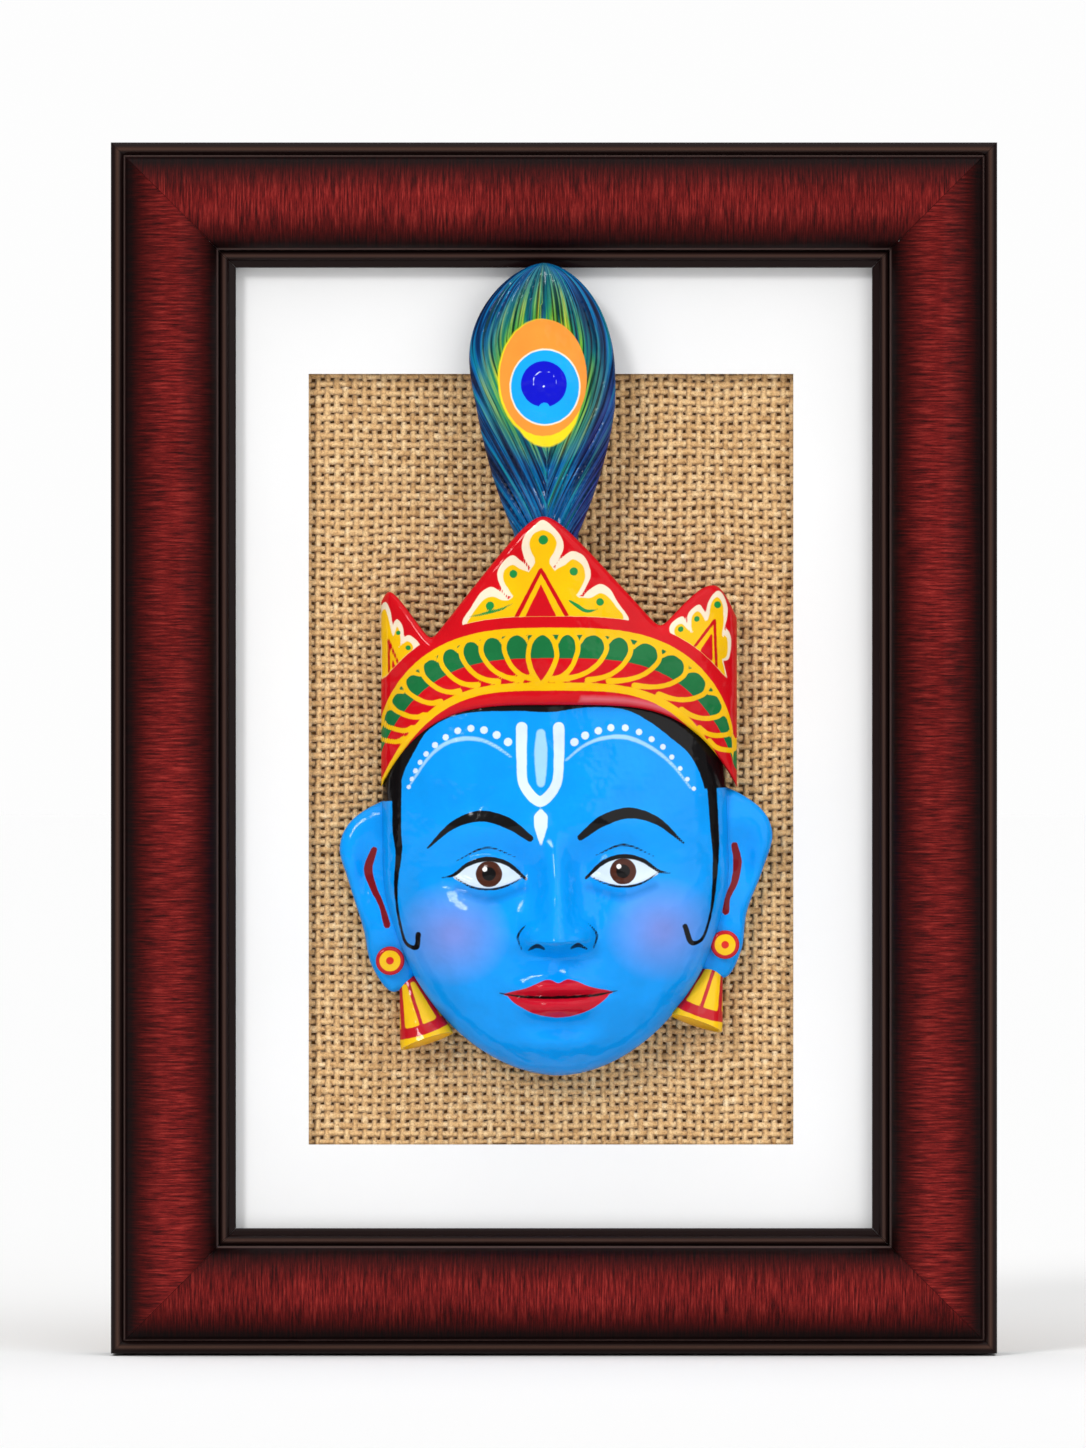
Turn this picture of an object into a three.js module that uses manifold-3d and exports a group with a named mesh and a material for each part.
// A painted wall mask of a crowned, blue-faced figure with a peacock feather, mounted on hessian
// behind a white card, in a mitred mahogany picture frame with its back, points and hanger.
// Millimetres. +Z is up and the front faces -Y. The origin is where the wall nail bears in the
// hanger's middle notch. "Depth" below is the distance forward from the back of the frame.

import * as THREE from 'three';
import { mergeVertices } from 'three/addons/utils/BufferGeometryUtils.js';
import Module from 'manifold-3d';

const wasm = await Module();
wasm.setup();

// Frame
const FRAME_WIDTH = 148.7;
const FRAME_HEIGHT = 203.2;
const RAIL_WIDTH = 20.9;
const OUTER_BEAD_WIDTH = 2.1;
const SIGHT_FLAT = 1.1;
const INNER_BEAD_WIDTH = 1.7;
const OUTER_EDGE_DEPTH = 11.6;
const CUSHION_EDGE_DEPTH = 12;
const CUSHION_RISE = 4.8;
const SIGHT_DEPTH = 10.6;
const BEAD_RISE = 0.9;
const RABBET_WIDTH = 5;
const RABBET_DEPTH = 8;
const MITRE_GAP = 0.2;

// Card, cloth and back, stacked in the rabbet with a gap between neighbours
const GAP = 0.3;
const BACKING_BACK = 1.9;
const BACKING_THICKNESS = 2.5;
const CLOTH_THICKNESS = 1.2;
const CARD_THICKNESS = 1.5;
const RABBET_CLEARANCE = 0.6;
const WINDOW = { x: -0.5, z: -1.9, width: 81.5, height: 129.6 };
const CLOTH_LAP = 6;
const CLOTH_BACK = BACKING_BACK + BACKING_THICKNESS + 0.2;
const CLOTH_FRONT = CLOTH_BACK + CLOTH_THICKNESS;
const CARD_BACK = CLOTH_FRONT + GAP;

// Points that hold the back in, two in each rail
const POINT = { width: 9, length: 11, thickness: 0.5, bite: 4.5, back: BACKING_BACK - 0.8 };
const POINT_PLACE_TALL = 48;
const POINT_PLACE_WIDE = 36;

// Hanger: a strip with teeth, bowed off the top rail and held by two nails
const HANGER = { length: 44, height: 8, thickness: 0.9, pad: 9, slope: 3, bow: 1.6, lift: 0.15 };
const HANGER_BOTTOM = 89.6;
const TOOTH_PITCH = 2;
const TOOTH_HEIGHT = 1;
const TEETH = 8;
const NAIL = { head: 1.9, headThickness: 0.7, shank: 0.6, length: 8, clearance: 0.25 };

// Mask, in depths from the back of the frame and places from the middle of the frame
const MASK_BACK = CLOTH_FRONT + GAP;
const FACE = { x: 0.2, z: -14.7, tilt: -1.2 };
const THIRD = 20;
const HEAD = {
  halfWidth: 29.2,
  widestZ: -4,
  reachUp: 40,
  reachDown: 36.3,
  roundUp: 2.8,
  roundDown: 1.88,
  edgeDepth: 10,
  frontDepth: 21.5,
};
const CROWN = {
  left: -29,
  right: 30.7,
  middle: 0.85,
  halfSpan: 31.2,
  edgeDepth: 8.5,
  bulge: 13.1,
  thickness: 3.2,
  lean: 0.06,
  leanFrom: 15,
  browZ: 7.2,
  drop: 13.7,
};
const CROWN_PEAKS = [
  { x: -27.7, z: 26.2, left: 3, right: 1.4, radius: 1.2 },
  { x: -1.8, z: 38.7, left: 1.3, right: 1.12, radius: 3 },
  { x: 26.7, z: 27.3, left: 1.24, right: 3.1, radius: 3.6 },
];
const FEATHER = {
  tipX: -1.7,
  tipZ: 81.3,
  length: 66,
  widest: 17,
  halfWidth: 12.2,
  taperLength: 28.4,
  neckHalfWidth: 5.4,
  rootRound: 9,
  back: 12.2,
  edgeDepth: 14,
  spineDepth: 16.8,
  rootLift: 2.2,
  barbPitch: 4.6,
  barbDepth: 0.35,
};
const EARS = [
  {
    outline: [
      [-28, -8.6], [-34.2, -12.4], [-36, -16.6], [-34.5, -22.5], [-32, -30.5], [-30.6, -36.6], [-27, -41],
      [-22.8, -37], [-22, -22], [-23.5, -8],
    ],
    hollow: [-31.4, -21.5],
    stud: [-27.5, -35.7],
    bellTop: [-25, -38],
    bellMouth: [-21.3, -49.2],
  },
  {
    outline: [
      [28.6, -6.4], [35, -10.4], [36.7, -14.4], [35, -20.6], [32.4, -27.6], [31.4, -34.2], [28.6, -38.6],
      [23, -35], [22, -20], [23.5, -5.5],
    ],
    hollow: [32, -19],
    stud: [28.7, -33],
    bellTop: [27.4, -35.6],
    bellMouth: [23.8, -46.2],
  },
];
const EAR = { back: 7, rim: 11.2, edge: 8.8, hollowDepth: 1.8 };
const STUD = { radius: 2.4, depth: 12.2, thickness: 4 };
const BELL = { topRadius: 1.3, mouthRadius: 4.6, flatness: 0.72, topDepth: 8.2, mouthDepth: 10.4 };

const finishes = {
  rail: new THREE.MeshStandardMaterial({ color: '#5c1a17', roughness: 0.3, metalness: 0 }),
  card: new THREE.MeshStandardMaterial({ color: '#f6f6f4', roughness: 0.9, metalness: 0 }),
  cloth: new THREE.MeshStandardMaterial({ color: '#b9935f', roughness: 1, metalness: 0 }),
  board: new THREE.MeshStandardMaterial({ color: '#6b4a2e', roughness: 0.85, metalness: 0 }),
  mask: new THREE.MeshStandardMaterial({ color: '#0a93f0', roughness: 0.2, metalness: 0 }),
  steel: new THREE.MeshStandardMaterial({ color: '#b9a774', roughness: 0.35, metalness: 1 }),
};

const root = new THREE.Group();
const frame = new THREE.Group();
root.add(frame);

// Solids and joins

function solidOf(geometry) {
  const bare = geometry.clone();
  bare.deleteAttribute('normal');
  bare.deleteAttribute('uv');
  const merged = mergeVertices(bare);
  const triangles = [];
  const corners = merged.index.array;
  for (let i = 0; i < corners.length; i += 3) {
    const [a, b, c] = corners.slice(i, i + 3);
    if (a !== b && b !== c && c !== a) triangles.push(a, b, c);
  }
  const vertProperties = new Float32Array(merged.attributes.position.array);
  return new wasm.Manifold(new wasm.Mesh({ numProp: 3, vertProperties, triVerts: new Uint32Array(triangles) }));
}

function geometryOf(solid) {
  const { vertProperties, triVerts } = solid.getMesh();
  const geometry = new THREE.BufferGeometry();
  geometry.setAttribute('position', new THREE.BufferAttribute(vertProperties, 3));
  geometry.setIndex(new THREE.BufferAttribute(triVerts, 1));
  geometry.computeVertexNormals();
  return geometry;
}

function cut(geometry, tools) {
  return geometryOf(tools.reduce((left, tool) => left.subtract(solidOf(tool)), solidOf(geometry)));
}

function join(geometries) {
  return geometryOf(geometries.map(solidOf).reduce((whole, piece) => whole.add(piece)));
}

function addPiece(name, geometry, finish, parent = frame) {
  const mesh = new THREE.Mesh(geometry, finish);
  mesh.name = name;
  parent.add(mesh);
  return mesh;
}

// A box between two corners given as [x, depth, z]
function block(low, high) {
  const size = high.map((value, axis) => value - low[axis]);
  const box = new THREE.BoxGeometry(size[0], size[1], size[2]);
  return box.translate((low[0] + high[0]) / 2, -(low[1] + high[1]) / 2, (low[2] + high[2]) / 2);
}

// Joins the border of a grid of points to the back, which is one flat fan or a grid of its own
function closeGrid(columns, rows, frontAt, backAt, flatBack) {
  const positions = [];
  const faces = [];
  const wide = columns + 1;
  for (let row = 0; row <= rows; row++) {
    for (let column = 0; column <= columns; column++) positions.push(...frontAt(column / columns, row / rows));
  }
  const quads = (from, flip) => {
    for (let row = 0; row < rows; row++) {
      for (let column = 0; column < columns; column++) {
        const a = from + row * wide + column;
        const corners = [a, a + 1, a + wide + 1, a + wide];
        if (flip) corners.reverse();
        faces.push(corners[0], corners[1], corners[2], corners[0], corners[2], corners[3]);
      }
    }
  };
  quads(0, false);

  const border = [];
  for (let column = 0; column < columns; column++) border.push([column, 0]);
  for (let row = 0; row < rows; row++) border.push([columns, row]);
  for (let column = columns; column > 0; column--) border.push([column, rows]);
  for (let row = rows; row > 0; row--) border.push([0, row]);

  const start = positions.length / 3;
  if (flatBack) {
    for (const [column, row] of border) positions.push(...backAt(column / columns, row / rows));
    positions.push(...backAt(0.5, 0.5));
  } else {
    for (let row = 0; row <= rows; row++) {
      for (let column = 0; column <= columns; column++) positions.push(...backAt(column / columns, row / rows));
    }
    quads(start, true);
  }
  border.forEach(([column, row], i) => {
    const next = (i + 1) % border.length;
    const [nextColumn, nextRow] = border[next];
    const front = row * wide + column;
    const frontNext = nextRow * wide + nextColumn;
    const back = flatBack ? start + i : start + front;
    const backNext = flatBack ? start + next : start + frontNext;
    faces.push(frontNext, front, back, frontNext, back, backNext);
    if (flatBack) faces.push(backNext, back, start + border.length);
  });

  const geometry = new THREE.BufferGeometry();
  geometry.setAttribute('position', new THREE.Float32BufferAttribute(positions, 3));
  geometry.setIndex(faces);
  return geometry;
}

// A relief over an oval: the unit disc's grid is laid on the outline, and the back is flat.
// edgeAt gives the outline's [x, z] for an angle, and depthAt the front's depth.
function relief({ centre, edgeAt, depthAt, back, cells, cellsUp = cells }) {
  const place = (u, v) => {
    const s = 2 * u - 1;
    const t = 2 * v - 1;
    const a = s * Math.sqrt(1 - (t * t) / 2);
    const b = t * Math.sqrt(1 - (s * s) / 2);
    const reach = Math.min(1, Math.hypot(a, b));
    const edge = edgeAt(Math.atan2(b, a));
    const x = centre[0] + reach * (edge[0] - centre[0]);
    const z = centre[1] + reach * (edge[1] - centre[1]);
    return { x, z, reach };
  };
  const frontAt = (u, v) => {
    const { x, z, reach } = place(u, v);
    return [x, -depthAt(x, z, reach), z];
  };
  const backAt = (u, v) => {
    const { x, z } = place(u, v);
    return [x, -back, z];
  };
  return closeGrid(cells, cellsUp, frontAt, backAt, true);
}

const swell = (x, z, at, size, height) =>
  height * Math.exp(-(((x - at[0]) / size[0]) ** 2) - ((z - at[1]) / size[1]) ** 2);
// Eases from 0 to 1 as value goes from one end to the other, in either direction
function smooth(from, to, value) {
  const t = THREE.MathUtils.clamp((value - from) / (to - from), 0, 1);
  return t * t * (3 - 2 * t);
}

// Frame rails: outer bead, cushion, inner bead and sight flat, over a rabbet

function railProfile() {
  const profile = new THREE.Shape();
  const cushionOuter = RAIL_WIDTH - OUTER_BEAD_WIDTH - 0.2;
  const cushionInner = SIGHT_FLAT + INNER_BEAD_WIDTH + 0.2;
  profile.moveTo(RABBET_WIDTH, 0);
  profile.lineTo(RAIL_WIDTH, 0);
  profile.lineTo(RAIL_WIDTH, OUTER_EDGE_DEPTH);
  profile.quadraticCurveTo(
    RAIL_WIDTH - OUTER_BEAD_WIDTH / 2, OUTER_EDGE_DEPTH + 2 * BEAD_RISE, RAIL_WIDTH - OUTER_BEAD_WIDTH, OUTER_EDGE_DEPTH,
  );
  profile.lineTo(cushionOuter, CUSHION_EDGE_DEPTH);
  const middle = (cushionOuter + cushionInner) / 2;
  const half = (cushionOuter - cushionInner) / 2;
  const steps = 12;
  for (let i = 1; i <= steps; i++) {
    const across = Math.cos((Math.PI * i) / steps);
    profile.lineTo(middle + half * across, CUSHION_EDGE_DEPTH + CUSHION_RISE * (1 - across * across) ** 0.62);
  }
  profile.lineTo(SIGHT_FLAT + INNER_BEAD_WIDTH, SIGHT_DEPTH + 0.4);
  profile.quadraticCurveTo(
    SIGHT_FLAT + INNER_BEAD_WIDTH / 2, SIGHT_DEPTH + 0.4 + 2 * BEAD_RISE, SIGHT_FLAT, SIGHT_DEPTH,
  );
  profile.lineTo(0, SIGHT_DEPTH);
  profile.lineTo(0, RABBET_DEPTH);
  profile.lineTo(RABBET_WIDTH, RABBET_DEPTH);
  profile.closePath();
  return profile;
}

// The profile runs along X above the opening. Each point's length follows the 45 degree mitre.
function railGeometry(length, acrossTheOpening) {
  const rail = new THREE.ExtrudeGeometry(railProfile(), { depth: 1, bevelEnabled: false, curveSegments: 6 });
  const place = rail.attributes.position;
  for (let i = 0; i < place.count; i++) {
    const across = place.getX(i);
    const end = length / 2 - RAIL_WIDTH + across - MITRE_GAP / 2;
    place.setXYZ(i, place.getZ(i) > 0.5 ? end : -end, -place.getY(i), acrossTheOpening / 2 + across);
  }
  return rail;
}

// One point lies flat over the back with its end in the rail
function pointGeometry(along, acrossTheOpening, spare) {
  const edge = acrossTheOpening / 2 + RABBET_WIDTH;
  return block(
    [along - POINT.width / 2 - spare, POINT.back - spare, edge + POINT.bite - POINT.length],
    [along + POINT.width / 2 + spare, POINT.back + POINT.thickness + spare, edge + POINT.bite + spare],
  );
}

function nailGeometry(x, spare) {
  const z = HANGER_BOTTOM + HANGER.height / 2;
  const head = new THREE.CylinderGeometry(NAIL.head, NAIL.head, NAIL.headThickness, 16);
  const top = HANGER.lift + HANGER.thickness + GAP;
  head.translate(0, top + NAIL.headThickness / 2, 0);
  const shank = new THREE.CylinderGeometry(NAIL.shank + spare, NAIL.shank + spare, NAIL.length + spare, 12);
  shank.translate(0, top - (NAIL.length + spare) / 2 + 0.1, 0);
  return { head: head.translate(x, 0, z), shank: shank.translate(x, 0, z) };
}

const nailPlaces = { left: -(HANGER.length - HANGER.pad) / 2, right: (HANGER.length - HANGER.pad) / 2 };

function addRails() {
  const wideOpening = FRAME_WIDTH - 2 * RAIL_WIDTH;
  const tallOpening = FRAME_HEIGHT - 2 * RAIL_WIDTH;
  const rails = [
    { side: 'top', quarter: 0, length: FRAME_WIDTH, across: tallOpening, place: POINT_PLACE_WIDE },
    { side: 'right', quarter: 1, length: FRAME_HEIGHT, across: wideOpening, place: POINT_PLACE_TALL },
    { side: 'bottom', quarter: 2, length: FRAME_WIDTH, across: tallOpening, place: POINT_PLACE_WIDE },
    { side: 'left', quarter: 3, length: FRAME_HEIGHT, across: wideOpening, place: POINT_PLACE_TALL },
  ];
  for (const { side, quarter, length, across, place } of rails) {
    const turned = new THREE.Group();
    turned.rotation.y = (quarter * Math.PI) / 2;
    frame.add(turned);
    const tools = [-place, place].map((along) => pointGeometry(along, across, GAP));
    if (side === 'top') {
      for (const x of Object.values(nailPlaces)) tools.push(nailGeometry(x, NAIL.clearance).shank);
    }
    addPiece(`frame_${side}`, cut(railGeometry(length, across), tools), finishes.rail, turned);
    [-place, place].forEach((along, i) => {
      addPiece(`point_${side}_${i + 1}`, pointGeometry(along, across, 0), finishes.steel, turned);
    });
  }
}

// The flat layers in the rabbet

function addLayers() {
  const width = FRAME_WIDTH - 2 * RAIL_WIDTH + 2 * (RABBET_WIDTH - RABBET_CLEARANCE);
  const height = FRAME_HEIGHT - 2 * RAIL_WIDTH + 2 * (RABBET_WIDTH - RABBET_CLEARANCE);

  const sheet = new THREE.Shape();
  sheet.moveTo(-width / 2, -height / 2);
  sheet.lineTo(width / 2, -height / 2);
  sheet.lineTo(width / 2, height / 2);
  sheet.lineTo(-width / 2, height / 2);
  const hole = new THREE.Path();
  const [left, right] = [WINDOW.x - WINDOW.width / 2, WINDOW.x + WINDOW.width / 2];
  const [bottom, top] = [WINDOW.z - WINDOW.height / 2, WINDOW.z + WINDOW.height / 2];
  hole.moveTo(left, bottom);
  hole.lineTo(left, top);
  hole.lineTo(right, top);
  hole.lineTo(right, bottom);
  sheet.holes.push(hole);
  const card = new THREE.ExtrudeGeometry(sheet, { depth: CARD_THICKNESS, bevelEnabled: false });
  const placed = addPiece('mat_board', card, finishes.card);
  placed.rotation.x = Math.PI / 2;
  placed.position.y = -CARD_BACK;

  addPiece(
    'hessian_panel',
    block(
      [left - CLOTH_LAP, CLOTH_BACK, bottom - CLOTH_LAP],
      [right + CLOTH_LAP, CLOTH_BACK + CLOTH_THICKNESS, top + CLOTH_LAP],
    ),
    finishes.cloth,
  );
  addPiece(
    'backing_board',
    block([-width / 2, BACKING_BACK, -height / 2], [width / 2, BACKING_BACK + BACKING_THICKNESS, height / 2]),
    finishes.board,
  );
}

// Hanger and its nails

function hangerGeometry() {
  const { length, height, thickness, pad, slope, bow, lift } = HANGER;
  const half = length / 2;
  const toothRun = (TEETH * TOOTH_PITCH) / 2;
  const stations = [-half, -half + pad, -half + pad + slope];
  for (let i = 0; i <= 2 * TEETH; i++) stations.push(-toothRun + (i * TOOTH_PITCH) / 2);
  stations.push(half - pad - slope, half - pad, half);
  const columns = stations.length - 1;
  const offAt = (x) => lift + bow * (1 - smooth(half - pad - slope, half - pad, Math.abs(x)));
  const bottomAt = (column) => {
    const tooth = column - 3;
    const inRun = tooth > 0 && tooth < 2 * TEETH;
    return inRun && tooth % 2 === 0 ? HANGER_BOTTOM + TOOTH_HEIGHT : HANGER_BOTTOM;
  };
  // The strip lies behind the frame's back, so its depths are negative
  const placeAt = (u, v, layer) => {
    const column = Math.round(u * columns);
    const x = stations[column];
    const bottom = bottomAt(column);
    const off = offAt(x) + layer * thickness;
    return [x, off, bottom + v * (HANGER_BOTTOM + height - bottom)];
  };
  return closeGrid(columns, 1, (u, v) => placeAt(u, v, 0), (u, v) => placeAt(u, v, 1), false);
}

function addHanger() {
  const nails = Object.entries(nailPlaces);
  const holes = nails.map(([, x]) => nailGeometry(x, NAIL.clearance).shank);
  addPiece('hanger', cut(hangerGeometry(), holes), finishes.steel);
  for (const [side, x] of nails) {
    const { head, shank } = nailGeometry(x, 0);
    addPiece(`hanger_nail_${side}`, join([head, shank]), finishes.steel);
  }
}

// Head: an egg in plan with features set out in thirds of the face. x and z are from the brow line.

function headEdge(angle) {
  const [c, s] = [Math.cos(angle), Math.sin(angle)];
  const power = THREE.MathUtils.lerp(HEAD.roundDown, HEAD.roundUp, smooth(-0.3, 0.3, s));
  const fit = (Math.abs(c) ** power + Math.abs(s) ** power) ** (-1 / power);
  return [HEAD.halfWidth * fit * c, HEAD.widestZ + (s > 0 ? HEAD.reachUp : HEAD.reachDown) * fit * s];
}

function headDome(x, z, reach) {
  const up = z > HEAD.widestZ;
  const steep = Math.atan2((z - HEAD.widestZ) / (up ? HEAD.reachUp : HEAD.reachDown), x / HEAD.halfWidth);
  const power = 2.3 + (up ? 0.8 : 1.4) * Math.sin(steep) ** 2;
  return HEAD.edgeDepth + (HEAD.frontDepth - HEAD.edgeDepth) * Math.sqrt(Math.max(0, 1 - reach ** power));
}

function noseAt(x, z) {
  const tip = -0.87 * THIRD;
  const along = THREE.MathUtils.clamp((1 - z) / (1 - tip), 0, 1);
  const under = 1 - smooth(0, 3.2, tip - z);
  const bridge = smooth(3, -2, z) * (0.8 + 6 * along ** 1.25) * Math.exp(-((x / (2.3 + 1.3 * along)) ** 2));
  const wings = swell(x, z, [4.3, tip + 0.3], [2.3, 3], 2.8);
  return (bridge + wings) * under;
}

function mouthAt(x, z) {
  const line = -1.33 * THIRD;
  const shut = 0.5 * (x / 9) ** 2;
  const upper = 1.1 * Math.exp(-((x / 6.8) ** 4) - ((z - line - 1.5 + shut) / 1.2) ** 2);
  const lower = 1.6 * Math.exp(-((x / 5.6) ** 4) - ((z - line + 1.9) / 1.6) ** 2);
  const parting = 0.9 * Math.exp(-((x / 8.5) ** 4) - ((z - line) / 0.6) ** 2);
  return upper + lower - parting;
}

function faceRelief(x, z) {
  const side = Math.abs(x);
  const eye = [11.2, -0.3 * THIRD];
  return (
    swell(side, z, [9, 1.5], [8, 3.2], 0.9) -
    swell(side, z, eye, [6.6, 4.3], 2.7) -
    swell(side, z, [4.8, -4.8], [2.6, 4], 1) +
    swell(side, z, eye, [4.8, 2.9], 2.3) +
    noseAt(side, z) +
    swell(side, z, [15, -0.72 * THIRD], [8, 7.5], 1.4) +
    swell(x, z, [0, -1.3 * THIRD], [9, 6], 1.8) +
    mouthAt(side, z) -
    swell(x, z, [0, -1.12 * THIRD], [1, 1.6], 0.45) -
    swell(x, z, [0, -1.6 * THIRD], [6, 1.9], 1.2) +
    swell(x, z, [0, -1.79 * THIRD], [6.4, 3.4], 1.9)
  );
}

function headGeometry() {
  const head = relief({
    centre: [0, HEAD.widestZ],
    edgeAt: headEdge,
    depthAt: (x, z, reach) => headDome(x, z, reach) + faceRelief(x, z) * smooth(1, 0.8, reach),
    back: MASK_BACK,
    cells: 32,
    cellsUp: 44,
  });
  return head.rotateY(THREE.MathUtils.degToRad(FACE.tilt)).translate(FACE.x, 0, FACE.z);
}

// Crown: a curved plate between a brow arch and three peaks

function crownTop(x) {
  const heights = CROWN_PEAKS.map((peak) => {
    const away = Math.hypot(x - peak.x, peak.radius) - peak.radius;
    return peak.z - (x < peak.x ? peak.left : peak.right) * away;
  });
  return Math.max(...heights);
}

function crownBottom(x) {
  const middle = (CROWN.left + CROWN.right) / 2;
  const half = (CROWN.right - CROWN.left) / 2;
  return CROWN.browZ - CROWN.drop * (Math.abs(x - middle) / half) ** 4;
}

function crownDepth(x, z) {
  const round = Math.sqrt(1 - ((x - CROWN.middle) / CROWN.halfSpan) ** 2);
  return CROWN.edgeDepth + CROWN.bulge * round - CROWN.lean * Math.max(0, z - CROWN.leanFrom);
}

function crownGeometry() {
  const place = (u, v, behind) => {
    const x = THREE.MathUtils.lerp(CROWN.left, CROWN.right, u);
    const z = THREE.MathUtils.lerp(crownBottom(x), crownTop(x), v);
    return [x, -(crownDepth(x, z) - behind), z];
  };
  return closeGrid(48, 4, (u, v) => place(u, v, 0), (u, v) => place(u, v, CROWN.thickness), false);
}

// Feather: a paddle with a raised spine and slanting barbs

function featherHalfWidth(fromTip) {
  const { widest, halfWidth, taperLength, neckHalfWidth, length, rootRound } = FEATHER;
  const taper = Math.min(1, Math.max(0, (fromTip - widest) / taperLength));
  const sides = halfWidth - (halfWidth - neckHalfWidth) * taper ** 1.8;
  const top = fromTip < widest ? Math.max(0, 1 - ((widest - fromTip) / widest) ** 2) ** 0.6 : 1;
  const intoRoot = Math.max(0, (fromTip - (length - rootRound)) / rootRound);
  return sides * top * Math.sqrt(Math.max(0, 1 - intoRoot ** 2));
}

function featherMiddle(fromTip) {
  return FEATHER.tipX - 0.5 * Math.sin((Math.PI * Math.min(fromTip, 24)) / 24) + 0.4 * smooth(10, 32, fromTip);
}

function featherDepth(x, z, reach) {
  const fromTip = FEATHER.tipZ - z;
  const off = Math.abs(x - featherMiddle(fromTip));
  const lens = FEATHER.edgeDepth + (FEATHER.spineDepth - FEATHER.edgeDepth) * Math.sqrt(Math.max(0, 1 - reach ** 3));
  const below = smooth(20, 30, fromTip);
  const barbs = Math.cos((2 * Math.PI * (fromTip + 0.9 * off)) / FEATHER.barbPitch);
  const lift = FEATHER.rootLift * smooth(34, 45, fromTip);
  return lens + lift + FEATHER.barbDepth * below * barbs * smooth(1, 0.85, reach);
}

function featherGeometry() {
  const { length, tipZ } = FEATHER;
  const middleZ = tipZ - length / 2;
  const edgeAt = (angle) => {
    const fromTip = (length / 2) * (1 - Math.sin(angle));
    const side = Math.cos(angle) < 0 ? -1 : 1;
    return [featherMiddle(fromTip) + side * featherHalfWidth(fromTip), tipZ - fromTip];
  };
  return relief({
    centre: [featherMiddle(length / 2), middleZ],
    edgeAt,
    depthAt: featherDepth,
    back: FEATHER.back,
    cells: 14,
    cellsUp: 52,
  });
}

// Ears, studs and bells

function earGeometry({ outline, hollow }) {
  const spline = new THREE.CatmullRomCurve3(
    outline.map(([x, z]) => new THREE.Vector3(x, 0, z)), true, 'centripetal',
  );
  const centre = outline.reduce((sum, [x, z]) => [sum[0] + x / outline.length, sum[1] + z / outline.length], [0, 0]);
  const left = centre[0] < 0;
  // The outline starts at the top and runs by the outer side, so its turn depends on the ear
  const edgeAt = (angle) => {
    const turn = (left ? angle - Math.PI / 2 : Math.PI / 2 - angle) / (2 * Math.PI);
    const { x, z } = spline.getPointAt(((turn % 1) + 1) % 1);
    return [x, z];
  };
  const depthAt = (x, z, reach) => {
    const rim = EAR.edge + (EAR.rim - EAR.edge) * Math.sqrt(Math.max(0, 1 - reach ** 4));
    return rim - swell(x, z, hollow, [2.2, 6], EAR.hollowDepth);
  };
  return relief({ centre, edgeAt, depthAt, back: EAR.back, cells: 10, cellsUp: 18 });
}

function studGeometry([x, z]) {
  const stud = new THREE.CylinderGeometry(STUD.radius, STUD.radius, STUD.thickness, 20);
  return stud.translate(x, -(STUD.depth - STUD.thickness / 2), z);
}

function bellGeometry(top, mouth) {
  const from = new THREE.Vector3(top[0], -BELL.topDepth, top[1]);
  const to = new THREE.Vector3(mouth[0], -BELL.mouthDepth, mouth[1]);
  const length = from.distanceTo(to);
  const profile = [
    [0, 0], [BELL.mouthRadius, 0], [BELL.mouthRadius * 0.97, length * 0.1],
    [BELL.topRadius + 0.9, length * 0.7], [BELL.topRadius, length], [0, length],
  ];
  const bell = new THREE.LatheGeometry(profile.map(([radius, up]) => new THREE.Vector2(radius, up)), 20);
  bell.scale(1, 1, BELL.flatness);
  const turn = new THREE.Quaternion().setFromUnitVectors(
    new THREE.Vector3(0, 1, 0), new THREE.Vector3().subVectors(from, to).normalize(),
  );
  return bell.applyQuaternion(turn).translate(to.x, to.y, to.z);
}

function addMask() {
  const pieces = [headGeometry(), crownGeometry(), featherGeometry()];
  for (const ear of EARS) {
    pieces.push(earGeometry(ear), studGeometry(ear.stud), bellGeometry(ear.bellTop, ear.bellMouth));
  }
  addPiece('mask', join(pieces), finishes.mask);
}

addRails();
addLayers();
addHanger();
addMask();

// The nail's seat: the top of the middle notch, halfway through the strip's thickness
const seatZ = HANGER_BOTTOM + TOOTH_HEIGHT;
const seatY = HANGER.lift + HANGER.bow + HANGER.thickness / 2;
frame.position.set(0, -seatY, -seatZ);

export default root;
